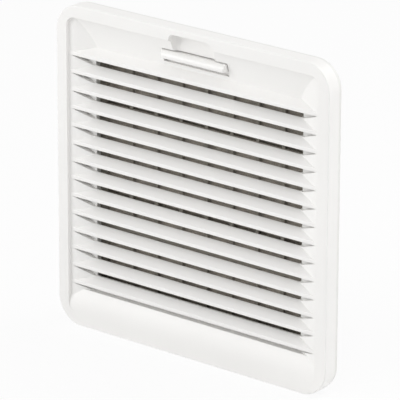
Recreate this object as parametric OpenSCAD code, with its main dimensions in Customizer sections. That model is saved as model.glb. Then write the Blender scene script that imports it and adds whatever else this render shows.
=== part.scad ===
// Exhaust filter grille for an enclosure wall: a louvred cover that tilts open on a snap-in
// base frame, with a filter mat between them.
// The part is drawn lying on its back: x to the right, y up the face, z out of the wall.
// z = 0 is the enclosure wall, the front is above it and the spigot below it.

/* [Front cover] */
// Width and height of the front
face_w = 205; // [196:1:230]
// Outer corner radius of the front
corner_r = 17.5; // [14:0.5:22]
// Height of the front above the enclosure wall
front_h = 12; // [11.5:0.5:16]
// Rounding of the front edge
edge_round = 0.8; // [0.6:0.1:1.6]
// Width of the flat rim around the louvres
rim_w = 8; // [7:0.5:10]
// Corner radius inside the rim
recess_r = 6; // [4:0.5:9]
// How far the louvre lips lie behind the rim
step_depth = 2; // [1:0.25:2.5]
// How far the dished floor lies behind the rim
dish_depth = 7.2; // [6.5:0.1:7.3]
// Width of the hollow curve from the rim down to the floor
dish_run = 17.5; // [14:0.5:19]
// Width beside the rim over which the side cheeks level off at the lips' height
cheek_ease = 3.1; // [1:0.1:5]
// Wall thickness of the cover
cover_wall = 1.8; // [1.4:0.1:2]

/* [Louvres] */
// From the top edge of the front down to the first lip
first_lip = 32.6; // [31.4:0.2:33.6]
// Distance from lip to lip
louvre_pitch = 11.25; // [11:0.05:11.5]
// Number of lips, the last one over the closed foot panel
lip_count = 14; // [8:1:14]
// Air gap under each lip
gap_h = 4.7; // [4.2:0.1:5.2]
// Height of the upright face of a lip
lip_h = 2.7; // [2:0.1:3.2]
// Thickness of a blade
blade_t = 1.6; // [1.2:0.1:1.8]
// Shadow gap between the last lip and the foot panel
foot_gap = 3.2; // [2.4:0.1:3.8]
// How far the top of the foot panel lies behind the rim
foot_depth = 4; // [3:0.25:4.5]
// Height of the flat part of the foot, with the rim
foot_flat = 7; // [5:0.5:12]

/* [Latch] */
// Width of the latch tab
tab_w = 48; // [42:0.2:56]
// Height of the latch tab
tab_h = 4.7; // [4.2:0.1:5.2]
// From the top edge of the front down to the tab
tab_top = 15.8; // [15.2:0.1:16.4]
// How far the tab's face lies behind the rim
tab_depth = 2; // [1.6:0.1:2.6]
// How far the tab slides down
latch_travel = 2; // [1.5:0.1:2]
// Width of the thumb recess above the tab
thumb_w = 32; // [28:0.5:38]
// From the top edge of the front down to the thumb recess
thumb_top = 3.8; // [3.4:0.1:4.4]

/* [Base frame] */
// How far the front laps over the square cut-out in the enclosure wall, each side
front_lap = 14; // [13:0.5:15]
// Play of the spigot in the cut-out, each side
cutout_play = 0.4; // [0.3:0.1:0.6]
// Thickness of the flange
flange_t = 2.2; // [1.8:0.1:2.4]
// Depth of the spigot behind the wall
spigot_depth = 14; // [14:0.5:15]
// Thickness of the spigot's outer wall
spigot_wall = 2; // [1.8:0.1:2.1]
// Thickness of the wall around the filter mat
tray_wall = 1.5; // [1.2:0.1:1.6]
// Width of the channel between the two walls, where the clips swing
clip_channel = 2.5; // [2.4:0.1:3]

/* [Filter and guard] */
// Thickness of the filter mat
mat_t = 7.2; // [6:0.2:7.4]
// Thickness of the frame that holds the mat down
holder_t = 2; // [1.6:0.1:2.2]
// Thickness of the rear guard
guard_t = 2; // [1.6:0.2:3]
// Openings across the rear guard
guard_cells = 10; // [6:1:12]
// Width of the guard's bars
guard_bar = 2.2; // [1.8:0.1:3]

/* [Panel clips] */
// Width of a clip
clip_w = 12; // [10:0.5:16]
// Clip centre from the middle of its side
clip_pos = 45; // [35:1:60]
// How far the clip's nose stands out of the spigot
clip_nose = 2; // [1.6:0.1:2.1]

/* [Cover hinge] */
// Radius of the hinge pins
pin_r = 1; // [0.8:0.1:1.1]
// Hinge pin centre from the side of the front
hinge_side = 32.5; // [29:0.5:46]

/* [Hidden] */
$fn = 48;

// Clearances
part_gap = 0.3;
bore_gap = 0.08;
pin_gap = 0.03;
trunnion_gap = 0.05;
joint_lap = 1;

// Front
face_half = face_w / 2;
recess_half = face_half - rim_w;
floor_z = front_h - dish_depth;
floor_back = floor_z - cover_wall;
lip_z = front_h - step_depth;
dish_drop = dish_depth - step_depth;
dish_skin = 0.2;
cheek_angle = atan(dish_drop / (dish_run - cheek_ease));
cheek_r = cheek_ease / tan(cheek_angle / 2);
skirt_end = flange_t + part_gap;
rib_end = 3.8;
rim_lap = 5;

// Louvres
lip_y0 = face_half - first_lip;
function lip_y(k) = lip_y0 - k * louvre_pitch;
last_lip = lip_y(lip_count - 1);
blade_rise = louvre_pitch - gap_h;
nose_back = 0.5;
lip_back = lip_z - 1.5;
pocket_z = floor_z - 0.9;
pocket_tip = 2.5;
pocket_bend = dish_run - 2.5;
hole_half = recess_half - dish_run + 1.1;
foot_top = last_lip - foot_gap;
function gap_height(k) = k < lip_count - 1 ? gap_h : foot_gap;
foot_rise = foot_top - (foot_flat - face_half);
foot_r = (foot_rise ^ 2 + foot_depth ^ 2) / (2 * foot_depth);

// Base frame
cutout_half = face_half - front_lap;
spigot_half = cutout_half - cutout_play;
spigot_r = 5;
channel_half = spigot_half - spigot_wall;
tray_back = channel_half - clip_channel;
tray_half = tray_back - tray_wall;
tray_r = 5;
flange_inset = 0.5;
flange_half = face_half - flange_inset;
collar_gap = 0.8;
collar_half = face_half - cover_wall - collar_gap;
collar_r = corner_r - cover_wall - collar_gap;
collar_t = 1.8;
collar_end = flange_t + 2.4;
collar_cut = 14.5;

// Latch
tab_hi = face_half - tab_top;
tab_lo = tab_hi - tab_h;
tab_face = front_h - tab_depth;
slot_hi = tab_hi + 0.6;
slot_lo = tab_lo - latch_travel - 1.2;
slot_half = tab_w / 2 + 0.6;
tab_round = 0.5;
tab_bow = 3.2;
tab_end = 1.6;
plate_z0 = 1.1;
plate_z1 = floor_back - part_gap;
plate_h = 4.4;
plate_gap = 1.2;
plate_hi = tray_half - plate_gap;
plate_lo = plate_hi - plate_h;
plate_lap = 4.2;
plate_half = tab_w / 2 + plate_lap;
neck_h = 3.4;
neck_inset = 1.8;
neck_hi = tab_lo + neck_h;
neck_half = tab_w / 2 - neck_inset;
guide_t = 2;
hook_x = 16;
hook_w = 8;
hook_t = 2;
hook_lift = 1.4;
hook_lo = plate_lo + hook_lift;
catch_r = 0.9;
catch_lap = 0.3;
catch_y = hook_lo + hook_t - catch_lap;
keeper_y = tray_half - catch_lap;
keeper_z = -0.4;
spring_x = 23;
spring_r = 1.3;
spring_bore = 0.8;
spring_z = 1.6;
spring_turns = 5;
spring_groove = 0.25;
spring_gap = 0.05;
ledge_lo = lip_y0 + 0.1;
ledge_hi = lip_y0 + 1.3;
ledge_back = 0.35;
thumb_half = thumb_w / 2;
thumb_hi = face_half - thumb_top;
thumb_r = 4;
thumb_back = rib_end + 0.1;
thumb_floor = thumb_back + 1.1;
thumb_side = 4;

// Hinge
hinge_pos = face_half - hinge_side;
hinge_inset = 4;
hinge_y = hinge_inset - face_half;
hinge_z = front_h - hinge_inset;
lug_r = pin_r + 0.9;
lug_w = 8;
ear_t = 2.5;
relief_end = 5;
relief_inset = 7;
relief_half = face_half - relief_inset;

// Panel clips
pivot_inset = 2.9;
clip_pivot_r = spigot_half - pivot_inset;
clip_pivot_z = 2 - spigot_depth;
clip_tip_z = -4.2;
clip_back_z = -4.9;
clip_eye = 1.4;
trunnion_r = 1;
trunnion_l = 2.4;
bearing_t = 2.2;
bearing_h = 5;
bearing_mouth = 4;
clip_play = 0.4;

// Filter and guard
guard_half = spigot_half - 0.2;
guard_field = tray_half - 2;
screw_at = channel_half - 2.7;
screw_r = 1.15;
screw_head_r = 2.5;
screw_head_h = 1.6;
screw_l = 9.5;
boss_r = 2.4;
mat_z0 = -spigot_depth + part_gap;
mat_z1 = mat_z0 + mat_t;
mat_half = tray_half - 0.5;
holder_z0 = mat_z1 + part_gap;
holder_z1 = holder_z0 + holder_t;
holder_half = tray_half - part_gap;
hook_end = holder_z1 + part_gap;
catch_z = hook_end + catch_r + 0.1;
holder_rim = 5;
holder_bar = 2.4;
holder_bars = 7;
lug_len = 12;
lug_reach = 0.9;
lug_pos = 30;
seal_lap = 2.7;
seal_in = recess_half - seal_lap;
seal_out = recess_half + 0.9;
seal_t = rib_end - flange_t - part_gap;
gasket_inset = 2.3;
gasket_in = cutout_half + gasket_inset;
gasket_w = 6.4;
gasket_r = 12.5;
gasket_t = 1;

// Stands the part up: the front then looks along -Y and Z is up.
module stand() rotate([90, 0, 0]) children();

module rounded_square(half, r) {
    square([2 * half, 2 * (half - r)], center = true);
    square([2 * (half - r), 2 * half], center = true);
    for (x = [-1, 1], y = [-1, 1])
        translate([x * (half - r), y * (half - r)]) circle(r);
}

module slab(half, r, z0, z1)
    translate([0, 0, z0]) linear_extrude(z1 - z0) rounded_square(half, r);

module frame_ring(half, r, inner_half, inner_r, z0, z1)
    translate([0, 0, z0]) linear_extrude(z1 - z0) difference() {
        rounded_square(half, r);
        rounded_square(inner_half, inner_r);
    }

module box(x0, x1, y0, y1, z0, z1)
    translate([x0, y0, z0]) cube([x1 - x0, y1 - y0, z1 - z0]);

// Sweeps a profile around a rounded square; each point is [inward from the edge, z].
module sweep_square(half, r, points) {
    for (a = [0, 90, 180, 270]) rotate([0, 0, a]) {
        rotate([90, 0, 0]) linear_extrude(2 * (half - r), center = true)
            polygon([for (p = points) [half - p[0], p[1]]]);
        translate([half - r, half - r, 0]) rotate_extrude(angle = 90)
            polygon([for (p = points) [r - p[0], p[1]]]);
    }
}

// Extrudes a [y, z] profile along x, from x0 to x1.
module along_x(x0, x1, points)
    translate([x0, 0, 0]) rotate([90, 0, 90]) linear_extrude(x1 - x0) polygon(points);

module rod_x(x0, x1, y, z, r)
    translate([x0, y, z]) rotate([0, 90, 0]) cylinder(h = x1 - x0, r = r);

module both_sides() {
    children();
    mirror([1, 0, 0]) children();
}

// Height of the hollow curve at a distance inward from the rim.
function dish_z(u) = let (t = 1 - max(u, 0) / dish_run) floor_z + dish_drop * (t + t ^ 2) / 2;

// Section of the hollow curve under the top of the rim: [inward from the rim, z].
function dish_points(steps = 12, lap = 0.9) = concat(
    [[-lap, dish_z(0)]],
    [for (i = [0:steps]) [dish_run * i / steps, dish_z(dish_run * i / steps)]],
    [for (i = [steps:-1:0]) [dish_run * i / steps, dish_z(dish_run * i / steps) - cover_wall]],
    [[-lap, dish_z(0) - cover_wall]]);

// Front of a side cheek, [inward from the rim, z]: level with the lips at the rim, then down a slope.
function cheek_front(steps = 4) = concat(
    [for (i = [0:steps]) let (a = cheek_angle * i / steps)
        [cheek_r * sin(a), lip_z - cheek_r * (1 - cos(a))]],
    [[dish_run, floor_z]]);

// Section of a blade above its lip: [up from the lip, z]. rise is the height of its top.
function blade_points(rise) =
    let (run = rise - lip_h, drop = lip_z - nose_back - floor_z, len = sqrt(run ^ 2 + drop ^ 2),
        by = -blade_t * drop / len, bz = -blade_t * run / len)
    [[rise, floor_z], [lip_h, lip_z - nose_back], [lip_h - 0.15, lip_z - 0.15],
     [lip_h - nose_back, lip_z], [0.4, lip_z], [0.1, lip_z - 0.15], [0, lip_z - 0.5],
     [0, lip_back], [lip_h + by, lip_z - nose_back + bz], [rise + by, floor_z + bz],
     [rise - 0.3, floor_z + bz + 0.1]];

function moved(points, y) = [for (p = points) [p[0] + y, p[1]]];

// Section of the foot panel: [y, z], rising from behind the last lip to the rim.
function foot_z(y) = front_h - foot_r + sqrt(foot_r ^ 2 - (y - foot_top + foot_rise) ^ 2);
function foot_points(steps = 10) = concat(
    [[-recess_half - 0.9, front_h]],
    [for (i = [0:steps]) let (y = foot_top - foot_rise + foot_rise * i / steps) [y, foot_z(y)]],
    [[foot_top, floor_back], [foot_top - 1.6, floor_back]],
    [for (i = [steps - 1:-1:0]) let (y = foot_top - foot_rise + foot_rise * i / steps)
        [min(y, foot_top - 1.6), foot_z(y) - cover_wall]],
    [[-recess_half - 0.9, front_h - cover_wall]]);

module cover_shell() {
    arc = [for (i = [0:5]) [edge_round * (1 - sin(18 * i)), front_h - edge_round * (1 - cos(18 * i))]];
    sweep_square(face_half, corner_r, concat(
        [[cover_wall, skirt_end], [0, skirt_end]],
        [for (i = [5:-1:0]) arc[i]],
        [[rim_lap + 1, front_h], [rim_lap + 1, front_h - cover_wall],
         [cover_wall, front_h - cover_wall]]));
    frame_ring(face_half - rim_lap, corner_r - rim_lap, recess_half, recess_r,
        front_h - cover_wall, front_h);
    frame_ring(recess_half + cover_wall, recess_r + cover_wall, recess_half, recess_r,
        rib_end, front_h - 0.5);
}

module dish() {
    reach = recess_half + 0.9;
    both_sides() difference() {
        translate([0, reach, 0]) rotate([90, 0, 0]) linear_extrude(2 * reach) polygon(concat(
            [[reach, lip_z]], [for (p = cheek_front()) [recess_half - p[0], p[1]]],
            [[recess_half - dish_run, floor_back], [recess_half - dish_run + 1, floor_back]],
            [[recess_half, lip_z - cover_wall], [reach, lip_z - cover_wall]]));
        for (k = [0:lip_count - 1]) gap_end(lip_y(k), gap_height(k));
    }
    // The closed ends of the gaps have their own back
    both_sides() for (k = [0:lip_count - 1])
        box(hole_half, recess_half - pocket_tip + 1, lip_y(k) - gap_height(k) - 1, lip_y(k) + 1,
            floor_back, pocket_z);
    along_x(-reach, reach, [for (p = dish_points()) [recess_half - p[0], p[1]]]);
    flat = recess_half - dish_run + 0.4;
    box(-flat, flat, lip_y0 + blade_rise - 0.4, max(flat, lip_y0 + blade_rise), floor_back, floor_z);
    for (k = [0:lip_count - 1])
        along_x(-reach, reach, moved(blade_points(blade_rise), lip_y(k)));
    along_x(-reach, reach, foot_points());
    box(-reach, reach, foot_top - 1, last_lip + blade_rise - 0.4, floor_back, pocket_z);
}

// The closed end of the gap under the lip at y. Its lower edge runs straight up to the lip.
module gap_end(y, height) {
    inner = recess_half - dish_run - 1;
    translate([0, 0, floor_back - 1]) linear_extrude(front_h)
        polygon([[inner, y - height], [recess_half - pocket_bend, y - height],
            [recess_half - pocket_tip, y], [recess_half - pocket_tip, y + 0.1], [inner, y + 0.1]]);
}

module louvre_cover() color("whitesmoke") stand() difference() {
    union() {
        cover_shell();
        difference() {
            intersection() {
                slab(recess_half + 0.9, recess_r + 0.9, 0, front_h);
                dish();
            }
            // Room for the cover seal
            frame_ring(recess_half + 2, recess_r + 2, seal_in - part_gap, recess_r - seal_lap - part_gap,
                -1, rib_end);
        }
        // Wall of the thumb recess, behind the hollow curve
        intersection() {
            thumb_pocket(cover_wall, thumb_back, front_h - 0.5);
            along_x(-face_half, face_half, concat(
                [[slot_hi - 3, 0], [face_half - 1, 0], [face_half - 1, front_h],
                 [recess_half + 0.3, front_h]],
                [for (i = [0:8]) let (u = (recess_half - slot_hi + 3) * i / 8)
                    [recess_half - u, dish_z(u) - dish_skin]]));
        }
        both_sides() {
            latch_guide();
            spring_ledge();
            hinge_ears();
        }
    }
    intersection() {
        thumb_pocket(0, thumb_floor, front_h + 1);
        hollow = concat([for (a = [0:15:90]) [thumb_half - thumb_side * (1 - sin(a)),
            thumb_floor + thumb_side * (1 - cos(a))]], [[thumb_half, front_h + 1]]);
        translate([0, face_half, 0]) rotate([90, 0, 0]) linear_extrude(face_half)
            polygon(concat(hollow, [for (i = [len(hollow) - 1:-1:0]) [-hollow[i][0], hollow[i][1]]]));
    }
    box(-slot_half, slot_half, slot_lo, slot_hi, floor_back - 1, front_h + 1);
    // The bottom of the skirt clears the flange as the cover tilts
    box(-relief_half, relief_half, -face_half - 1, hinge_y + 0.5, 0, relief_end);
    both_sides() {
        rod_x(hinge_pos - lug_w, hinge_pos + lug_w, hinge_y, hinge_z, pin_r + pin_gap);
        box(hinge_pos - lug_w / 2 - part_gap, hinge_pos + lug_w / 2 + part_gap,
            -face_half - 1, -face_half + cover_wall + 0.1, 0, hinge_z + lug_r + part_gap);
    }
}

// The recess over the latch tab, or its outer shell when grown by a wall.
module thumb_pocket(grow, z0, z1) {
    half = thumb_half + grow;
    lo = slot_hi - 1 - grow;
    hi = thumb_hi + grow;
    r = thumb_r + grow;
    translate([0, 0, z0]) linear_extrude(z1 - z0) {
        translate([-half, lo]) square([2 * half, hi - r - lo]);
        translate([-half + r, lo]) square([2 * (half - r), hi - lo]);
        for (x = [-1, 1]) translate([x * (half - r), hi - r]) circle(r);
    }
}

module latch_guide() {
    x0 = plate_half + part_gap;
    box(x0, x0 + guide_t, plate_lo - 1.5, plate_hi + 0.4, plate_z0 - 1.7, floor_back + 0.6);
    box(x0 - 1.8, x0 + guide_t, plate_lo - 1.5, plate_hi + 0.4,
        plate_z0 - 1.7, plate_z0 - part_gap);
}

module spring_ledge()
    box(spring_x - 3, spring_x + 3, ledge_lo, ledge_hi, ledge_back, lip_z - 1.2);

module hinge_ears() {
    gap = lug_w / 2 + part_gap;
    for (x = [hinge_pos - gap - ear_t, hinge_pos + gap])
        box(x, x + ear_t, -face_half + 1, -recess_half - 1, hinge_z - 2.4, front_h - 1);
}

module hinge_pin() color("silver") stand()
    rod_x(hinge_pos - lug_w / 2 - part_gap - ear_t, hinge_pos + lug_w / 2 + part_gap + ear_t,
        hinge_y, hinge_z, pin_r);
module hinge_pin_right() hinge_pin();
module hinge_pin_left() mirror([1, 0, 0]) hinge_pin();

module cover_latch() color("white") stand() {
    // The finger tab: bowed over its top, its ends rounded
    intersection() {
        along_x(-tab_w / 2, tab_w / 2, concat(
            [[tab_lo, flange_t + part_gap], [tab_lo, tab_face - tab_round],
             [tab_lo + 0.3 * tab_round, tab_face - 0.3 * tab_round], [tab_lo + tab_round, tab_face]],
            [for (a = [0:15:90]) [tab_hi - tab_bow * (1 - sin(a)), tab_face - tab_bow * (1 - cos(a))]],
            [[tab_hi, flange_t + part_gap]]));
        ends = concat([[tab_w / 2, 0]], [for (a = [0:15:90])
            [tab_w / 2 - tab_end * (1 - cos(a)), tab_face + 0.01 - tab_end * (1 - sin(a))]]);
        translate([0, face_half, 0]) rotate([90, 0, 0]) linear_extrude(face_half)
            polygon(concat(ends, [for (i = [len(ends) - 1:-1:0]) [-ends[i][0], ends[i][1]]]));
    }
    box(-neck_half, neck_half, plate_lo, neck_hi, plate_z0, plate_z1);
    box(-neck_half, neck_half, tab_lo, neck_hi, plate_z0, flange_t + part_gap + 0.2);
    box(-plate_half, plate_half, plate_lo, plate_hi, plate_z0, plate_z1);
    both_sides() {
        box(hook_x - hook_w / 2, hook_x + hook_w / 2, hook_lo, hook_lo + hook_t,
            hook_end, plate_z0 + 0.4);
        rod_x(hook_x - hook_w / 2, hook_x + hook_w / 2, catch_y, catch_z, catch_r);
    }
}

// A closed coil, drawn as one ribbed sleeve.
module latch_spring() {
    len = plate_lo - ledge_hi - 2 * spring_gap;
    turn = len / spring_turns;
    translate([0, ledge_hi + spring_gap, spring_z]) rotate([-90, 0, 0]) rotate_extrude()
        polygon(concat([[spring_bore, 0]],
            [for (i = [0:spring_turns - 1]) each [
                [spring_r - spring_groove, turn * i], [spring_r, turn * (i + 0.3)],
                [spring_r, turn * (i + 0.7)]]],
            [[spring_r - spring_groove, len], [spring_bore, len]]));
}

module latch_springs() color("silver") stand()
    both_sides() translate([spring_x, 0, 0]) latch_spring();

module at_clips() for (a = [0, 90, 180, 270], s = [-1, 1])
    rotate([0, 0, a]) translate([0, s * clip_pos, 0]) children();

module base_frame() color("gainsboro") stand() difference() {
    union() {
        frame_ring(flange_half, corner_r - flange_inset, tray_half, tray_r, 0, flange_t);
        // Low collar that centres the cover, left out along the hinge and the thumb recess
        difference() {
            frame_ring(collar_half, collar_r, collar_half - collar_t, collar_r - collar_t,
                flange_t - joint_lap, collar_end);
            box(-face_half, face_half, -face_half, collar_cut - face_half, 0, front_h);
            box(-thumb_half - 3, thumb_half + 3, 0, face_half, 0, front_h);
        }
        frame_ring(spigot_half, spigot_r, channel_half, spigot_r - spigot_wall,
            -spigot_depth, joint_lap);
        frame_ring(tray_back, tray_r + tray_wall, tray_half, tray_r, -spigot_depth, joint_lap);
        for (x = [-1, 1], y = [-1, 1]) translate([x * screw_at, y * screw_at, -spigot_depth])
            cylinder(h = spigot_depth + joint_lap, r = boss_r);
        at_clips() for (s = [-1, 1])
            translate([tray_back - 0.4, s * (clip_w + bearing_t + clip_play * 2) / 2
                - bearing_t / 2, -spigot_depth])
                cube([clip_channel + 0.8, bearing_t, bearing_h]);
        both_sides() {
            box(hinge_pos - lug_w / 2, hinge_pos + lug_w / 2, hinge_y - lug_r, hinge_y + lug_r,
                flange_t - joint_lap, hinge_z);
            rod_x(hinge_pos - lug_w / 2, hinge_pos + lug_w / 2, hinge_y, hinge_z, lug_r);
            rod_x(hook_x - hook_w / 2 - 1, hook_x + hook_w / 2 + 1, keeper_y, keeper_z, catch_r);
        }
    }
    // Groove for the panel gasket
    frame_ring(gasket_in + gasket_w, gasket_r, gasket_in, gasket_r - gasket_w, -1, gasket_t);
    // Room for the latch behind the flange's edge
    box(-slot_half + 0.9, slot_half - 0.9, tray_half - 2, neck_hi + 1, 0, flange_t + 1);
    both_sides() rod_x(hinge_pos - lug_w, hinge_pos + lug_w, hinge_y, hinge_z, pin_r + bore_gap);
    // Windows and open bearings for the clips
    at_clips() {
        translate([channel_half - 0.1, -clip_w / 2 - clip_play, -spigot_depth - 1])
            cube([spigot_wall + 1, clip_w + 2 * clip_play, spigot_depth - 0.5]);
        translate([clip_pivot_r, 0, clip_pivot_z]) {
            rotate([90, 0, 0])
                cylinder(h = clip_w + 2 * (trunnion_l + 0.1), r = trunnion_r + trunnion_gap,
                    center = true);
            translate([0, 0, -bearing_mouth / 2]) cube([2 * (trunnion_r + trunnion_gap),
                clip_w + 2 * (trunnion_l + 0.1), bearing_mouth], center = true);
        }
    }
    for (x = [-1, 1], y = [-1, 1])
        translate([x * screw_at, y * screw_at, -spigot_depth - 1])
            cylinder(h = screw_l, r = screw_r + trunnion_gap);
    for (a = [0, 180], s = [-1, 1]) rotate([0, 0, a])
        translate([tray_half - 1, s * lug_pos - lug_len / 2 - part_gap, holder_z0 - part_gap])
            cube([tray_wall + 0.9, lug_len + 2 * part_gap, holder_t + 2 * part_gap]);
}

module rear_guard() color("lightgray") stand()
    translate([0, 0, -spigot_depth - guard_t]) linear_extrude(guard_t) difference() {
        cell = 2 * guard_field / guard_cells;
        rounded_square(guard_half, spigot_r);
        for (i = [0:guard_cells - 1], j = [0:guard_cells - 1])
            translate([cell * (i + 0.5) - guard_field, cell * (j + 0.5) - guard_field])
                square(cell - guard_bar, center = true);
        for (x = [-1, 1], y = [-1, 1])
            translate([x * screw_at, y * screw_at]) circle(screw_r + 0.35);
    }

module guard_screws() color("dimgray") stand()
    for (x = [-1, 1], y = [-1, 1])
        translate([x * screw_at, y * screw_at, -spigot_depth - guard_t]) {
            cylinder(h = guard_t + screw_l - 1.5, r = screw_r);
            difference() {
                translate([0, 0, -screw_head_h]) cylinder(h = screw_head_h, r = screw_head_r);
                for (a = [0, 90]) rotate([0, 0, a])
                    translate([-1.5, -0.3, -screw_head_h - 1]) cube([3, 0.6, 1.9]);
            }
        }

module filter_mat() color("dimgray") stand()
    slab(mat_half, tray_r - 0.5, mat_z0, mat_z1);

module mat_holder() color("gainsboro") stand() {
    span = 2 * (holder_half - holder_rim) / (holder_bars + 1);
    frame_ring(holder_half, tray_r - part_gap, holder_half - holder_rim, 2, holder_z0, holder_z1);
    for (i = [1:holder_bars], a = [0, 90]) rotate([0, 0, a])
        box(-holder_half + 1, holder_half - 1, i * span - holder_half + holder_rim - holder_bar / 2,
            i * span - holder_half + holder_rim + holder_bar / 2, holder_z0, holder_z1);
    for (a = [0, 180], s = [-1, 1]) rotate([0, 0, a])
        box(holder_half - 1, tray_half + lug_reach, s * lug_pos - lug_len / 2,
            s * lug_pos + lug_len / 2, holder_z0, holder_z1);
}

// The gasket lies in a groove of the flange, pressed flush with it, as on a wall.
module panel_gasket() color("dimgray") stand()
    frame_ring(gasket_in + gasket_w, gasket_r, gasket_in, gasket_r - gasket_w, 0, gasket_t);

module cover_seal() color("dimgray") stand()
    frame_ring(seal_out, recess_r + 0.9, seal_in, recess_r - seal_lap, flange_t,
        flange_t + seal_t);

// A clip on the right side: a wedge that swings in on its trunnions as it passes the cut-out.
module clip() {
    tip = spigot_half + clip_nose;
    translate([0, clip_w / 2, 0]) rotate([90, 0, 0]) linear_extrude(clip_w) {
        polygon([[clip_pivot_r - 0.6, clip_pivot_z + 0.8], [spigot_half - 2.2, -2.2],
            [spigot_half - 0.8, -2.2], [spigot_half + 0.1, -2.6], [tip, clip_tip_z],
            [tip - 0.2, clip_back_z], [clip_pivot_r + 1.2, clip_pivot_z + 0.7],
            [clip_pivot_r, clip_pivot_z]]);
        translate([clip_pivot_r, clip_pivot_z]) circle(clip_eye);
    }
    translate([clip_pivot_r, 0, clip_pivot_z]) rotate([90, 0, 0])
        cylinder(h = clip_w + 2 * trunnion_l, r = trunnion_r, center = true);
}

module placed_clip(angle, side) color("gainsboro") stand()
    rotate([0, 0, angle]) translate([0, side * clip_pos, 0]) clip();

louvre_cover();
cover_latch();
latch_springs();
hinge_pin_left();
hinge_pin_right();
base_frame();
rear_guard();
guard_screws();
filter_mat();
mat_holder();
panel_gasket();
cover_seal();
placed_clip(0, -1);  // clip_right_lower
placed_clip(0, 1);  // clip_right_upper
placed_clip(90, -1);  // clip_top_right
placed_clip(90, 1);  // clip_top_left
placed_clip(180, -1);  // clip_left_upper
placed_clip(180, 1);  // clip_left_lower
placed_clip(270, -1);  // clip_bottom_left
placed_clip(270, 1);  // clip_bottom_right
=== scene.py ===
"""Dresses the exhaust filter grille: finishes on its mouldings, pins and screws, and its springs, foam and
mat as detailed pieces, with the stage that they are seen on. It is laid out as an add-on and runs as a
script."""

import math
import random

import bmesh
import bpy
from bpy.props import FloatProperty, FloatVectorProperty, IntProperty, PointerProperty
from mathutils import Matrix, Vector, noise


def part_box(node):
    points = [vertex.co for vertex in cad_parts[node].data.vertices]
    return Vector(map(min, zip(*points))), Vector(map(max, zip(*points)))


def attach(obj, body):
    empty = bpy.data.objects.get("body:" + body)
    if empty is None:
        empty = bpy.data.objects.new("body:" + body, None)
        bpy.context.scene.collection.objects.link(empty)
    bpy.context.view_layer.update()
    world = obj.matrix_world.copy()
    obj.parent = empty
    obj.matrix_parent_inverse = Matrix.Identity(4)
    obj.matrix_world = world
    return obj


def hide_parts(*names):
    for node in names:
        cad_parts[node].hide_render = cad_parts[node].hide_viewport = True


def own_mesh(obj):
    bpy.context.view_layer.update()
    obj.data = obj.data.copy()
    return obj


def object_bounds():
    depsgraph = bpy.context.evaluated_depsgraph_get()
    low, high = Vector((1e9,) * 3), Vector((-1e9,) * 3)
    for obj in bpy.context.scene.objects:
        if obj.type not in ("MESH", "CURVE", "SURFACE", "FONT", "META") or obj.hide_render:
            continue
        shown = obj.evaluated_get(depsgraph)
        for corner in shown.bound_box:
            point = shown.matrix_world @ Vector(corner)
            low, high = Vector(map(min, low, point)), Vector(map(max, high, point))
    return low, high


bl_info = {
    "name": "Exhaust Filter Grille",
    "version": (1, 0, 0),
    "blender": (4, 5, 0),
    "location": "3D View > Sidebar > Grille",
    "description": "Finishes, springs, foam, mat, screws and stage for an exhaust filter grille",
    "category": "Object",
}

MM = 0.001
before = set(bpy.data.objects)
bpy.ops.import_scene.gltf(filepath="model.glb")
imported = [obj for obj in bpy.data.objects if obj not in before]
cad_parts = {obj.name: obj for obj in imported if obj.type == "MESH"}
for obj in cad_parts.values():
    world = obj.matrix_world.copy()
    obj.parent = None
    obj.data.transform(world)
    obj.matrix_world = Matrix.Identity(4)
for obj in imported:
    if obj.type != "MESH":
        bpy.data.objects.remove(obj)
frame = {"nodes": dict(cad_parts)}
CAD_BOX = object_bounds()


def linear(hex_colour):
    """A six-digit sRGB hex value as linear red, green and blue."""
    values = [int(hex_colour[i : i + 2], 16) / 255 for i in (0, 2, 4)]
    return tuple(v / 12.92 if v <= 0.04045 else ((v + 0.055) / 1.055) ** 2.4 for v in values)


# ---------------------------------------------------------------- settings


class GrilleFinishes(bpy.types.PropertyGroup):
    """Colours of the materials and the stage."""

    cover: FloatVectorProperty(
        name="Cover",
        description="White ABS of the louvred cover and the latch",
        subtype="COLOR",
        default=linear("F6F5F3"),
    )
    frame: FloatVectorProperty(
        name="Base frame",
        description="White ABS of the base frame, the guard and the clips",
        subtype="COLOR",
        default=linear("ECECE9"),
    )
    # The holder is grey polypropylene, and its grey is darkened and browned further as painted shade, so
    # that the louvre gaps in front of it read as dark as their shade
    holder: FloatVectorProperty(
        name="Mat holder",
        description="Grey polypropylene of the frame over the mat",
        subtype="COLOR",
        default=linear("8E897F"),
    )
    # The mat's grey is partly painted shade: darker and browner than the fibre's own tone, so that the
    # louvre gaps in front of it read as dark as their shade
    mat: FloatVectorProperty(
        name="Filter mat",
        description="Grey polyester fibre of the filter mat",
        subtype="COLOR",
        default=linear("B2AA9F"),
    )
    foam: FloatVectorProperty(
        name="Foam",
        description="Dark closed-cell foam of the seal and the gasket",
        subtype="COLOR",
        default=linear("35353A"),
    )
    floor: FloatVectorProperty(
        name="Floor",
        description="Pale floor under the object",
        subtype="COLOR",
        default=linear("F4F4F4"),
    )


class GrilleSizes(bpy.types.PropertyGroup):
    """Sizes of the detailed pieces."""

    edge: FloatProperty(
        name="Moulded edge",
        description="Radius that the mould leaves on every sharp edge",
        subtype="DISTANCE",
        unit="LENGTH",
        default=0.25 * MM,
    )
    wire: FloatProperty(
        name="Spring wire",
        description="Diameter of the wire of the latch springs",
        subtype="DISTANCE",
        unit="LENGTH",
        default=0.5 * MM,
    )
    coils: IntProperty(
        name="Spring coils",
        description="Active coils of each latch spring",
        default=5,
        min=2,
        max=12,
    )
    fibre: FloatProperty(
        name="Fibre",
        description="Diameter of the loose fibres on the mat",
        subtype="DISTANCE",
        unit="LENGTH",
        default=0.22 * MM,
    )
    fibres: IntProperty(
        name="Fibre count",
        description="Loose fibres on each face of the mat",
        default=1500,
        min=0,
        max=6000,
    )


# ---------------------------------------------------------------- materials


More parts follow.
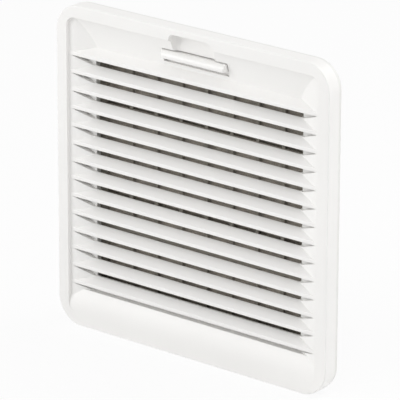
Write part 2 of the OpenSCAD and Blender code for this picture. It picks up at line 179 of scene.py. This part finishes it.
def add(tree, kind, settings=None, **inputs):
    """Adds a shader node. Settings are its own properties; an input is a value or another node's output."""
    made = tree.nodes.new(kind)
    for name, value in (settings or {}).items():
        setattr(made, name, value)
    for name, value in inputs.items():
        socket = made.inputs[name.replace("_", " ")]
        if isinstance(value, bpy.types.NodeSocket):
            tree.links.new(value, socket)
        else:
            socket.default_value = value
    return made


def new_material(name):
    """An empty material: its tree, its shader and the place of a point in the shared frame, in metres."""
    material = bpy.data.materials.new(name)
    material.use_nodes = True
    tree = material.node_tree
    tree.nodes.clear()
    shader = add(tree, "ShaderNodeBsdfPrincipled")
    out = add(tree, "ShaderNodeOutputMaterial", Surface=shader.outputs["BSDF"])
    place = add(tree, "ShaderNodeTexCoord").outputs["Object"]
    return material, tree, shader, place, out


def moulded_plastic(name, colour, rough, grain, ior, edge):
    """A plastic from a spark-eroded mould. The fine grain of the mould's wall breaks the light into a
    soft sheen, slow flow lines vary the tone a little, and every edge has the small radius that a mould
    leaves."""
    flow_width, grain_depth = 55 * MM, 0.02 * MM
    duller, paler = 0.975, 1.01
    smoother, rougher = 0.04, 0.05
    material, tree, shader, place, _ = new_material(name)
    fine = add(tree, "ShaderNodeTexNoise", Vector=place, Scale=1 / grain, Detail=2.0, Roughness=0.6)
    flow = add(tree, "ShaderNodeTexNoise", Vector=place, Scale=1 / flow_width, Detail=1.0, Roughness=0.4)
    tone = add(tree, "ShaderNodeMix", {"data_type": "RGBA", "blend_type": "MIX"})
    tree.links.new(flow.outputs["Fac"], tone.inputs[0])
    # The colour sockets of a mix have no names of their own: 6 and 7 go in, 2 comes out
    tone.inputs[6].default_value = (*[c * duller for c in colour], 1)
    tone.inputs[7].default_value = (*[min(1.0, c * paler) for c in colour], 1)
    tree.links.new(tone.outputs[2], shader.inputs["Base Color"])
    sheen = add(
        tree,
        "ShaderNodeMapRange",
        Value=fine.outputs["Fac"],
        To_Min=rough - smoother,
        To_Max=rough + rougher,
    )
    tree.links.new(sheen.outputs["Result"], shader.inputs["Roughness"])
    soft = add(tree, "ShaderNodeBevel", {"samples": 6}, Radius=edge)
    bump = add(
        tree,
        "ShaderNodeBump",
        Height=fine.outputs["Fac"],
        Strength=0.12,
        Distance=grain_depth,
        Normal=soft.outputs["Normal"],
    )
    tree.links.new(bump.outputs["Normal"], shader.inputs["Normal"])
    shader.inputs["IOR"].default_value = ior
    return material


def drawn_steel(name, colour, rough, axis):
    """Bright steel wire or rod drawn through a die: a clean metal with fine lines along its length."""
    line_spacing, line_length, line_depth = 0.15 * MM, 6 * MM, 0.01 * MM
    material, tree, shader, place, _ = new_material(name)
    stretch = [1 / line_spacing] * 3
    stretch[axis] = 1 / line_length
    lines = add(
        tree,
        "ShaderNodeTexNoise",
        Vector=add(tree, "ShaderNodeMapping", Vector=place, Scale=tuple(stretch)).outputs["Vector"],
        Scale=1.0,
        Detail=2.0,
    )
    vary = add(
        tree, "ShaderNodeMapRange", Value=lines.outputs["Fac"], To_Min=rough - 0.08, To_Max=rough + 0.1
    )
    tree.links.new(vary.outputs["Result"], shader.inputs["Roughness"])
    bump = add(tree, "ShaderNodeBump", Height=lines.outputs["Fac"], Strength=0.15, Distance=line_depth)
    tree.links.new(bump.outputs["Normal"], shader.inputs["Normal"])
    shader.inputs["Base Color"].default_value = (*colour, 1)
    shader.inputs["Metallic"].default_value = 1.0
    return material


def zinc_plate(name, colour):
    """Zinc plated steel, blue passivated: a bright grey metal that clouds a little from grain to grain."""
    cloud_width, cloud_shade = 0.9 * MM, 0.78
    material, tree, shader, place, _ = new_material(name)
    cloud = add(tree, "ShaderNodeTexNoise", Vector=place, Scale=1 / cloud_width, Detail=4.0, Roughness=0.65)
    tone = add(tree, "ShaderNodeValToRGB", Fac=cloud.outputs["Fac"])
    tone.color_ramp.elements[0].position = 0.3
    tone.color_ramp.elements[0].color = (*[c * cloud_shade for c in colour], 1)
    tone.color_ramp.elements[1].position = 0.75
    tone.color_ramp.elements[1].color = (*colour, 1)
    tree.links.new(tone.outputs["Color"], shader.inputs["Base Color"])
    vary = add(tree, "ShaderNodeMapRange", Value=cloud.outputs["Fac"], To_Min=0.24, To_Max=0.46)
    tree.links.new(vary.outputs["Result"], shader.inputs["Roughness"])
    shader.inputs["Metallic"].default_value = 1.0
    return material


def polyester_fleece(name, colour):
    """Thermally bonded polyester fibre: a matt, open tangle in denser and thinner patches, with painted
    shade in its depths and painted light on its outer fibres."""
    tangle_width, patch_width, tangle_depth = 0.5 * MM, 9 * MM, 0.3 * MM
    tangle_part, patch_part = 0.75, 0.25
    painted_shade_deep, painted_light_outer = 0.45, 1.25
    material, tree, shader, place, _ = new_material(name)
    tangle = add(
        tree,
        "ShaderNodeTexNoise",
        Vector=place,
        Scale=1 / tangle_width,
        Detail=3.0,
        Roughness=0.7,
        Distortion=1.6,
    )
    patch = add(tree, "ShaderNodeTexNoise", Vector=place, Scale=1 / patch_width, Detail=2.0)
    # The depth of the tangle, shifted by the patches, drives painted shade in its hollows and painted light
    # on its outer fibres
    depth = add(tree, "ShaderNodeMath", {"operation": "MULTIPLY_ADD"})
    tree.links.new(tangle.outputs["Fac"], depth.inputs[0])
    depth.inputs[1].default_value = tangle_part
    shift = add(tree, "ShaderNodeMath", {"operation": "MULTIPLY"})
    tree.links.new(patch.outputs["Fac"], shift.inputs[0])
    shift.inputs[1].default_value = patch_part
    tree.links.new(shift.outputs[0], depth.inputs[2])
    # Painted shade and painted light: the ramp darkens the deep tangle and lightens its outer fibres
    tone = add(tree, "ShaderNodeValToRGB", Fac=depth.outputs[0])
    tone.color_ramp.elements[0].position = 0.38
    tone.color_ramp.elements[0].color = (*[c * painted_shade_deep for c in colour], 1)
    tone.color_ramp.elements[1].position = 0.68
    tone.color_ramp.elements[1].color = (*[c * painted_light_outer for c in colour], 1)
    tree.links.new(tone.outputs["Color"], shader.inputs["Base Color"])
    bump = add(tree, "ShaderNodeBump", Height=tangle.outputs["Fac"], Strength=0.6, Distance=tangle_depth)
    tree.links.new(bump.outputs["Normal"], shader.inputs["Normal"])
    shader.inputs["Roughness"].default_value = 0.9
    shader.inputs["IOR"].default_value = 1.5
    shader.inputs["Sheen Weight"].default_value = 0.25
    return material


def closed_cell_foam(name, colour):
    """Poured polyurethane foam: a matt dark skin, dimpled by its cells, with painted shade in the dimples
    and painted light on the walls between them. The cells are drawn wider than the real ones of about 0.3
    mm, so that they show."""
    cell_width, dimple_depth = 0.6 * MM, 0.12 * MM
    painted_shade_in_dimple, painted_light_on_wall = 0.6, 1.3
    material, tree, shader, place, _ = new_material(name)
    cells = add(tree, "ShaderNodeTexVoronoi", {"feature": "SMOOTH_F1"}, Vector=place, Scale=1 / cell_width)
    # Painted shade in the dimples and painted light on the cell walls, from the distance to each cell's
    # middle
    tone = add(tree, "ShaderNodeValToRGB", Fac=cells.outputs["Distance"])
    tone.color_ramp.elements[0].color = (*[c * painted_shade_in_dimple for c in colour], 1)
    tone.color_ramp.elements[1].color = (*[c * painted_light_on_wall for c in colour], 1)
    tree.links.new(tone.outputs["Color"], shader.inputs["Base Color"])
    bump = add(
        tree, "ShaderNodeBump", Height=cells.outputs["Distance"], Strength=0.5, Distance=dimple_depth
    )
    tree.links.new(bump.outputs["Normal"], shader.inputs["Normal"])
    shader.inputs["Roughness"].default_value = 0.75
    return material


def seen_rays(tree):
    """1 on the rays that the camera sees, also in a reflection or through glass, and 0 on those that
    light the scene."""
    rays = add(tree, "ShaderNodeLightPath")
    seen = rays.outputs["Is Camera Ray"]
    for kind in ("Is Glossy Ray", "Is Transmission Ray"):
        either = add(tree, "ShaderNodeMath", {"operation": "MAXIMUM"})
        tree.links.new(seen, either.inputs[0])
        tree.links.new(rays.outputs[kind], either.inputs[1])
        seen = either.outputs[0]
    return seen


def paper_floor(name, colour):
    """A sheet of white studio paper. What the camera sees of it is lifted to white; its shadow stays."""
    grain_width, grain_depth, lifted = 2 * MM, 0.05 * MM, 0.91
    material, tree, shader, place, out = new_material(name)
    grain = add(tree, "ShaderNodeTexNoise", Vector=place, Scale=1 / grain_width, Detail=2.0)
    bump = add(tree, "ShaderNodeBump", Height=grain.outputs["Fac"], Strength=0.05, Distance=grain_depth)
    tree.links.new(bump.outputs["Normal"], shader.inputs["Normal"])
    shader.inputs["Base Color"].default_value = (*colour, 1)
    shader.inputs["Roughness"].default_value = 0.8
    shader.inputs["Specular IOR Level"].default_value = 0.1
    white = add(tree, "ShaderNodeEmission", Color=(1, 1, 1, 1), Strength=1.0)
    share = add(tree, "ShaderNodeMath", {"operation": "MULTIPLY"})
    tree.links.new(seen_rays(tree), share.inputs[0])
    share.inputs[1].default_value = lifted
    mix = add(tree, "ShaderNodeMixShader", Fac=share.outputs[0])
    tree.links.new(shader.outputs["BSDF"], mix.inputs[1])
    tree.links.new(white.outputs["Emission"], mix.inputs[2])
    tree.links.new(mix.outputs["Shader"], out.inputs["Surface"])
    return material


def give(piece, material):
    """Sets one material on a piece or a CAD node."""
    piece.data.materials.clear()
    piece.data.materials.append(material)


# ---------------------------------------------------------------- mesh helpers


def link(name, mesh, smooth=True):
    """A new object with that mesh, in the scene."""
    piece = bpy.data.objects.new(name, mesh)
    bpy.context.scene.collection.objects.link(piece)
    if smooth:
        for face in mesh.polygons:
            face.use_smooth = True
    return piece


def swept_ring(name, outline, section, shape):
    """Sweeps a closed section along a closed outline in the XZ plane. Each section point is
    [outward, towards the front], and shape(i, point) gives it its place at outline point i."""
    mesh = bpy.data.meshes.new(name)
    made = bmesh.new()
    rings = []
    for i, (x, z, nx, nz) in enumerate(outline):
        ring = [shape(i, p) for p in section]
        rings.append([made.verts.new((x + nx * p[0], -p[1], z + nz * p[0])) for p in ring])
    for a, b in zip(rings, rings[1:] + rings[:1]):
        for j in range(len(section)):
            k = (j + 1) % len(section)
            made.faces.new((a[j], a[k], b[k], b[j]))
    bmesh.ops.recalc_face_normals(made, faces=made.faces)
    made.to_mesh(mesh)
    made.free()
    return link(name, mesh)


def rounded_outline(half, radius, step):
    """Points and outward directions round a rounded square, one about every step."""
    points = []
    straight, quarter = half - radius, math.pi / 2
    runs = max(2, round(2 * straight / step))
    turns = max(6, round(radius * quarter / step))
    for side in range(4):
        a = side * quarter
        ca, sa = math.cos(a), math.sin(a)

        def put(x, z, nx, nz, ca=ca, sa=sa):
            points.append((x * ca - z * sa, x * sa + z * ca, nx * ca - nz * sa, nx * sa + nz * ca))

        for i in range(runs):
            put(half, -straight + 2 * straight * i / runs, 1, 0)
        for i in range(turns):
            t = quarter * i / turns
            put(straight + radius * math.cos(t), straight + radius * math.sin(t), math.cos(t), math.sin(t))
    return points


# ---------------------------------------------------------------- pieces


class GRILLE_OT_mouldings(bpy.types.Operator):
    """Gives the moulded pieces their plastics"""

    bl_idname = "grille.mouldings"
    bl_label = "Finish the mouldings"

    def execute(self, context):
        finishes, sizes = context.scene.grille_finishes, context.scene.grille_sizes
        abs_ior, polypropylene_ior, edge = 1.54, 1.49, sizes.edge
        white, holder_grey_and_shade = tuple(finishes.cover), tuple(finishes.holder)
        # Each plastic has a roughness and the grain width of its mould's wall.
        # ABS: white, opaque, an even satin with a faint sheen
        cover = moulded_plastic("Cover_white_ABS", white, 0.42, 0.35 * MM, abs_ior, edge)
        # The same ABS from a polished part of the mould: the tab that a finger rubs shines more
        tab = moulded_plastic("Latch_polished_ABS", white, 0.26, 0.5 * MM, abs_ior, edge)
        # The same ABS from a plainer mould, as nobody looks at the frame: duller and a shade darker
        base = moulded_plastic("Frame_white_ABS", tuple(finishes.frame), 0.46, 0.4 * MM, abs_ior, edge)
        # Polypropylene: slightly waxy and softer in its sheen. Its grey is partly painted shade, darker and
        # browner than the part's own tone so that the gaps over it read dark
        grey = moulded_plastic(
            "Holder_polypropylene_grey_and_painted_shade", holder_grey_and_shade, 0.5, 0.4 * MM, polypropylene_ior, edge
        )
        for node, material in [
            ("louvre_cover", cover),
            ("cover_latch", tab),
            ("base_frame", base),
            ("rear_guard", base),
            ("mat_holder", grey),
        ]:
            give(frame["nodes"][node], material)
        for node in frame["nodes"]:
            if node.startswith("clip_"):
                give(frame["nodes"][node], base)
        return {"FINISHED"}


class GRILLE_OT_hinge_pins(bpy.types.Operator):
    """Gives the hinge pins their drawn steel"""

    bl_idname = "grille.hinge_pins"
    bl_label = "Finish the hinge pins"

    def execute(self, context):
        steel = drawn_steel("Pin_drawn_steel", linear("C9C9C6"), 0.28, 0)
        for node in ("hinge_pin_left", "hinge_pin_right"):
            give(frame["nodes"][node], steel)
        return {"FINISHED"}


class GRILLE_OT_latch_springs(bpy.types.Operator):
    """Winds the two springs under the latch"""

    bl_idname = "grille.latch_springs"
    bl_label = "Wind the latch springs"

    def execute(self, context):
        sizes = context.scene.grille_sizes
        low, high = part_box("latch_springs")
        radius = (high.y - low.y - sizes.wire) / 2
        centre_y = (low.y + high.y) / 2
        centre_x = high.x - (high.y - low.y) / 2
        length = high.z - low.z
        mesh = bpy.data.meshes.new("latch_coils")
        made = bmesh.new()
        for side in (-1, 1):
            foot = Vector((side * centre_x, centre_y, low.z))
            self.coil(made, foot, radius, sizes.wire / 2, length, sizes.coils)
        bmesh.ops.recalc_face_normals(made, faces=made.faces)
        made.to_mesh(mesh)
        made.free()
        coils = link("latch_coils", mesh)
        give(coils, drawn_steel("Spring_steel_wire", linear("BDBDBA"), 0.3, 2))
        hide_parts("latch_springs")
        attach(coils, "cover")
        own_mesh(coils)
        return {"FINISHED"}

    def coil(self, made, foot, radius, wire, length, turns):
        """One compression spring of round wire, given by its radius, with a flatter turn at each end."""
        around, per_turn, end_turns = 10, 28, 1.0
        full = 2 * math.pi
        steps = int((turns + 2 * end_turns) * per_turn)
        rise = length - 2 * wire
        end_rise = 1.02 * wire
        rings = []
        for i in range(steps + 1):
            t = i / per_turn
            if t < end_turns:
                z = end_rise * t
            elif t > end_turns + turns:
                z = rise - end_rise * (2 * end_turns + turns - t)
            else:
                z = end_rise + (rise - 2 * end_rise) * (t - end_turns) / turns
            out = Vector((math.cos(full * t), math.sin(full * t), 0))
            centre = foot + out * radius + Vector((0, 0, z + wire))
            ring = []
            for k in range(around):
                off = out * math.cos(full * k / around) + Vector((0, 0, math.sin(full * k / around)))
                ring.append(made.verts.new(centre + off * wire))
            rings.append(ring)
        for a, b in zip(rings, rings[1:]):
            for k in range(around):
                made.faces.new((a[k], a[(k + 1) % around], b[(k + 1) % around], b[k]))
        made.faces.new(rings[0])
        made.faces.new(rings[-1])


class GRILLE_OT_filter_mat(bpy.types.Operator):
    """Makes the fibre mat and its loose fibres"""

    bl_idname = "grille.filter_mat"
    bl_label = "Make the filter mat"

    def execute(self, context):
        sizes, finishes = context.scene.grille_sizes, context.scene.grille_finishes
        low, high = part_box("filter_mat")
        half, corner = high.x, 4.5 * MM
        # The fleece leaves room for the loose fibres over its faces, which end before its cut edges
        room, border = 0.15 * MM, 3 * MM
        # The fleece's grey is partly painted shade for the gaps in front of the mat
        fleece = polyester_fleece("Mat_polyester_fleece", tuple(finishes.mat))
        body = self.body(half, corner, low.y + room, high.y - room)
        fibres = self.fibres(half - border, low.y, high.y, sizes)
        for piece in (body, fibres):
            give(piece, fleece)
            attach(piece, "base")
        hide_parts("filter_mat")
        return {"FINISHED"}

    def body(self, half, corner, y0, y1):
        """A rounded square slab whose faces undulate and whose cut edges are ragged and soft."""
        cells = 110
        lofts = [-1.0, -0.94, -0.7, -0.3, 0.3, 0.7, 0.94, 1.0]
        hollow, tuft, ragged_width = 7 * MM, 1.6 * MM, 1.5 * MM
        face_inset, edge_inset, dent_depth = 0.5 * MM, 0.3 * MM, 0.25 * MM
        edge_squeeze = 0.93
        middle, thick = (y0 + y1) / 2, (y1 - y0) / 2

        def place(i, j, inset):
            x = (2 * i / cells - 1) * half
            z = (2 * j / cells - 1) * half
            dx, dz = max(0.0, abs(x) - (half - corner)), max(0.0, abs(z) - (half - corner))
            if dx and dz:
                share = max(dx, dz) / math.hypot(dx, dz)
                x = math.copysign(half - corner + dx * share, x)
                z = math.copysign(half - corner + dz * share, z)
            return x * (1 - inset / half), z * (1 - inset / half)

        mesh = bpy.data.meshes.new("mat_fleece")
        made = bmesh.new()
        faces = []
        for side in (0, len(lofts) - 1):
            outwards = lofts[side]
            y = middle + outwards * thick
            grid = {}
            for i in range(cells + 1):
                for j in range(cells + 1):
                    x, z = place(i, j, face_inset)
                    at = Vector((x, y, z))
                    dent = (noise.noise(at / hollow) + noise.noise(at / tuft)) * dent_depth
                    grid[i, j] = made.verts.new((x, y - outwards * (dent_depth + dent / 2), z))
            faces.append(grid)
            for i in range(cells):
                for j in range(cells):
                    made.faces.new((grid[i, j], grid[i + 1, j], grid[i + 1, j + 1], grid[i, j + 1]))
        rim = [(i, 0) for i in range(cells)] + [(cells, j) for j in range(cells)]
        rim += [(cells - i, cells) for i in range(cells)] + [(0, cells - j) for j in range(cells)]
        rings = [[faces[0][k] for k in rim]]
        for loft in lofts[1:-1]:
            ring = []
            for i, j in rim:
                x, z = place(i, j, 0)
                ragged = noise.noise(Vector((x, loft * thick * 3, z)) / ragged_width) * edge_inset
                scale = 1 - (edge_inset + ragged) / half
                ring.append(made.verts.new((x * scale, middle + loft * thick * edge_squeeze, z * scale)))
            rings.append(ring)
        rings.append([faces[1][k] for k in rim])
        for a, b in zip(rings, rings[1:]):
            for k in range(len(rim)):
                made.faces.new((a[k], a[(k + 1) % len(rim)], b[(k + 1) % len(rim)], b[k]))
        bmesh.ops.recalc_face_normals(made, faces=made.faces)
        made.to_mesh(mesh)
        made.free()
        return link("mat_fleece", mesh)

    def fibres(self, half, y0, y1, sizes):
        """Loose curly fibres that stand a little off both faces."""
        draw = random.Random(41)
        sides, wire, third = 3, sizes.fibre / 2, 2 * math.pi / 3
        tightest_curl = 260  # radians per metre
        sunk = 0.55 * MM
        mesh = bpy.data.meshes.new("mat_fibres")
        made = bmesh.new()
        for face, sign in ((y0, 1), (y1, -1)):
            for _ in range(sizes.fibres):
                x, z = draw.uniform(-half, half), draw.uniform(-half, half)
                heading = draw.uniform(0, 2 * math.pi)
                curl = draw.uniform(-1, 1) * tightest_curl
                step = draw.uniform(0.5, 1.1) * MM
                count = draw.randint(8, 13)
                lift = draw.uniform(0.05, 0.4) * MM
                rings = []
                for i in range(count + 1):
                    t = i / count
                    depth = sunk - math.sin(math.pi * t) * lift
                    across = Vector((-math.sin(heading), 0, math.cos(heading)))
                    centre = Vector((x, face + sign * depth, z))
                    ring = []
                    for k in range(sides):
                        off = across * math.cos(third * k) + Vector((0, math.sin(third * k), 0))
                        ring.append(made.verts.new(centre + off * wire))
                    rings.append(ring)
                    x = max(-half, min(half, x + math.cos(heading) * step))
                    z = max(-half, min(half, z + math.sin(heading) * step))
                    heading += curl * step + draw.uniform(-0.25, 0.25)
                for a, b in zip(rings, rings[1:]):
                    for k in range(sides):
                        made.faces.new((a[k], a[(k + 1) % sides], b[(k + 1) % sides], b[k]))
                made.faces.new(rings[0])
                made.faces.new(rings[-1][::-1])
        bmesh.ops.recalc_face_normals(made, faces=made.faces)
        made.to_mesh(mesh)
        made.free()
        return link("mat_fibres", mesh)


class GRILLE_OT_foam(bpy.types.Operator):
    """Pours the foam gasket of the flange and the foam seal of the cover"""

    bl_idname = "grille.foam"
    bl_label = "Pour the foam"

    def execute(self, context):
        foam = closed_cell_foam("Poured_dark_foam", tuple(context.scene.grille_finishes.foam))
        # A bead's section is a flattened arch. It swells and thins by a share of its size as it was
        # poured, and the shares under 1 keep it inside the CAD model's ring
        arc, crown = 12, 0.55
        arch_width, arch_height, mean_width, mean_height = 0.99, 0.97, 0.97, 0.96
        wave_width, wave_height = 14 * MM, 0.03
        lap_x, lap_width = 20 * MM, 3 * MM
        for name, node, width, corner, front in (
            ("flange_foam", "panel_gasket", 6.4 * MM, 12.5 * MM, False),
            ("cover_foam", "cover_seal", 3.6 * MM, 6.9 * MM, True),
        ):
            low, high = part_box(node)
            outline = rounded_outline(high.x - width / 2, corner - width / 2, 2.5 * MM)
            foot, top = (-high.y, -low.y) if front else (-low.y, -high.y)
            section = []
            for k in range(arc + 1):
                a = math.pi * k / arc
                rise = math.sin(a) ** crown
                section.append(
                    (math.cos(a) * width / 2 * arch_width, foot + (top - foot) * rise * arch_height)
                )

            def wavy(i, p, foot=foot, outline=outline):
                x, z = outline[i][:2]
                wave = noise.noise(Vector((x, 0, z)) / wave_width) * wave_height
                # The bead laps over itself where it was closed
                lap = wave_height * math.exp(-(((x - lap_x) / lap_width) ** 2)) if z < 0 else 0
                return (p[0] * (mean_width + wave), foot + (p[1] - foot) * (mean_height + wave + lap))

            bead = swept_ring(name, outline, section, wavy)
            give(bead, foam)
            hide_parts(node)
            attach(bead, "base")
        return {"FINISHED"}


class GRILLE_OT_guard_screws(bpy.types.Operator):
    """Finishes the four screws of the rear guard"""

    bl_idname = "grille.guard_screws"
    bl_label = "Finish the guard screws"

    def execute(self, context):
        give(frame["nodes"]["guard_screws"], zinc_plate("Screw_zinc_plate", linear("C4C6C8")))
        return {"FINISHED"}


# ---------------------------------------------------------------- stage


class GRILLE_OT_stage(bpy.types.Operator):
    """Lays the floor and sets the lamps, the world and the camera"""

    bl_idname = "grille.stage"
    bl_label = "Set the stage"

    def execute(self, context):
        scene = context.scene
        scene.view_settings.view_transform = "Standard"
        mesh = bpy.data.meshes.new("studio_floor")
        ground, reach = CAD_BOX[0].z, 6.0
        corners = [(x * reach, y * reach, ground) for x, y in ((-1, -1), (1, -1), (1, 1), (-1, 1))]
        mesh.from_pydata(corners, [], [(0, 1, 2, 3)])
        floor = link("studio_floor", mesh, smooth=False)
        give(floor, paper_floor("Studio_paper", tuple(scene.grille_finishes.floor)))
        self.world(scene)
        self.lamp("left_softbox", -45, 16, 2.4, 1.5, 24)
        self.lamp("front_softbox", 20, 55, 1.7, 1.1, 5.5)
        self.lamp("rear_softbox", 140, 55, 1.7, 1.1, 10)
        self.lamp("right_softbox", 90, 18, 1.7, 1.1, 7)
        self.camera(scene)
        return {"FINISHED"}

    def world(self, scene):
        """A plain pale room: white to the camera and in reflections, dimmer as a light."""
        world = bpy.data.worlds.new("Pale_room")
        world.use_nodes = True
        tree = world.node_tree
        tree.nodes.clear()
        level = add(tree, "ShaderNodeMapRange", Value=seen_rays(tree), To_Min=0.38, To_Max=1.0)
        back = add(tree, "ShaderNodeBackground", Color=(1, 1, 1, 1), Strength=level.outputs["Result"])
        add(tree, "ShaderNodeOutputWorld", Surface=back.outputs["Background"])
        scene.world = world

    def lamp(self, name, azimuth, elevation, distance, size, power):
        """A square softbox that looks at the middle of the front. Azimuth 0 is straight before it. The
        angles are in degrees, distance and size in metres and the power in watts."""
        lamp = bpy.data.lights.new(name, "AREA")
        lamp.size, lamp.energy = size, power
        a, e = math.radians(azimuth), math.radians(elevation)
        away = Vector((math.sin(a) * math.cos(e), -math.cos(a) * math.cos(e), math.sin(e)))
        holder = bpy.data.objects.new(name, lamp)
        holder.location = away * distance
        holder.rotation_mode = "QUATERNION"
        holder.rotation_quaternion = (-away).to_track_quat("-Z", "Y")
        bpy.context.scene.collection.objects.link(holder)

    def camera(self, scene):
        """The photograph's camera: a long lens from the upper right of the front. Its angles, its focal
        length in pixels and its place were fitted to the rim and the lips."""
        yaw, pitch, roll = math.radians(38.70), math.radians(19.81), math.radians(0.19)
        sensor, focal_pixels, photo_pixels = 36.0, 3781, 400
        distance, aside, below = 2.237, 0.0066, 0.0009
        back = Vector((math.sin(yaw) * math.cos(pitch), -math.cos(yaw) * math.cos(pitch), math.sin(pitch)))
        right = Vector((math.cos(yaw), math.sin(yaw), 0))
        up = back.cross(right)
        data = bpy.data.cameras.new("photo_camera")
        data.sensor_width = sensor
        data.lens = sensor * focal_pixels / photo_pixels
        data.clip_start, data.clip_end = 0.1, 50
        camera = bpy.data.objects.new("photo_camera", data)
        target = Vector((0, CAD_BOX[0].y, 0))
        place = target + back * distance + right * aside - up * below
        turn = Matrix((right, up, back)).transposed() @ Matrix.Rotation(roll, 3, "Z")
        camera.rotation_mode = "QUATERNION"
        camera.rotation_quaternion = turn.to_quaternion()
        camera.location = place
        scene.collection.objects.link(camera)
        scene.camera = camera


# ---------------------------------------------------------------- panel


class GRILLE_PT_panel(bpy.types.Panel):
    """Lists the steps that dress the grille, and their sizes and colours"""

    bl_idname = "GRILLE_PT_panel"
    bl_label = "Exhaust filter grille"
    bl_space_type = "VIEW_3D"
    bl_region_type = "UI"
    bl_category = "Grille"

    def draw(self, context):
        for group in (context.scene.grille_sizes, context.scene.grille_finishes):
            for name in group.__annotations__:
                self.layout.prop(group, name)
        for step in STEPS:
            self.layout.operator(step.bl_idname)


STEPS = (
    GRILLE_OT_mouldings,
    GRILLE_OT_hinge_pins,
    GRILLE_OT_latch_springs,
    GRILLE_OT_filter_mat,
    GRILLE_OT_foam,
    GRILLE_OT_guard_screws,
    GRILLE_OT_stage,
)
GROUPS = (GrilleFinishes, GrilleSizes)


def register():
    for made in GROUPS + STEPS + (GRILLE_PT_panel,):
        bpy.utils.register_class(made)
    bpy.types.Scene.grille_finishes = PointerProperty(type=GrilleFinishes)
    bpy.types.Scene.grille_sizes = PointerProperty(type=GrilleSizes)


def unregister():
    del bpy.types.Scene.grille_sizes
    del bpy.types.Scene.grille_finishes
    for made in reversed(GROUPS + STEPS + (GRILLE_PT_panel,)):
        bpy.utils.unregister_class(made)


def main():
    """Runs every step in order."""
    register()
    bpy.ops.grille.mouldings()
    bpy.ops.grille.hinge_pins()
    bpy.ops.grille.latch_springs()
    bpy.ops.grille.filter_mat()
    bpy.ops.grille.foam()
    bpy.ops.grille.guard_screws()
    bpy.ops.grille.stage()


if __name__ == "__main__":
    main()
